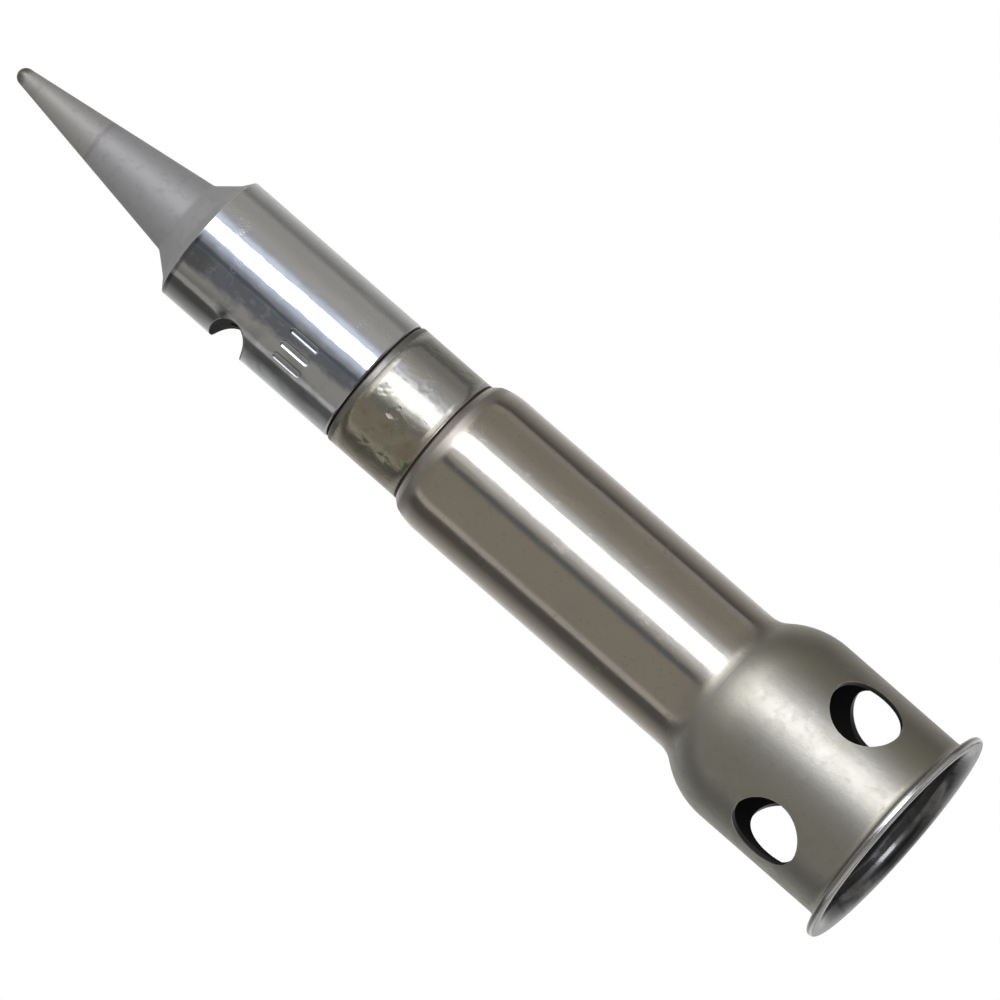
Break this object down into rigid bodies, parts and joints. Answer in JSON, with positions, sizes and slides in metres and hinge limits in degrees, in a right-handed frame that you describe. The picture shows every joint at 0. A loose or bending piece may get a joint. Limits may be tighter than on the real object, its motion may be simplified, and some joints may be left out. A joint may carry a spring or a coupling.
{
  "type": "soldering iron tip",
  "caption": "Pointed soldering tip for a gas-fired catalytic iron: hollow plated bit with exhaust notch on a drawn steel shank with air holes and a seating flange.",
  "frame": {"origin": "centre of the flange's base face, where the tip stands on its flange", "axes": "+Z along the turned axis from the flange to the point; the exhaust notch is on the -X side and is cut along Y; the pressed bars face -Y"},
  "size_m": [0.0132, 0.0132, 0.0601],
  "materials": {
    "plated_bit": "bright chrome plating on the barrel, matte iron plating with worn tin on the cone",
    "shank_steel": "drawn stainless steel, smooth, heat-tinted at the neck and satin at the bell",
    "catalyst_block": "dull dark grey",
    "inner_steel": "heat-darkened steel"
  },
  "bodies": {
    "root": {"soldering_bit": "plated_bit", "barrel_tube": "shank_steel", "catalyst": "catalyst_block", "inlet_gauze": "inner_steel", "retaining_ring": "inner_steel"}
  },
  "joints": []
}
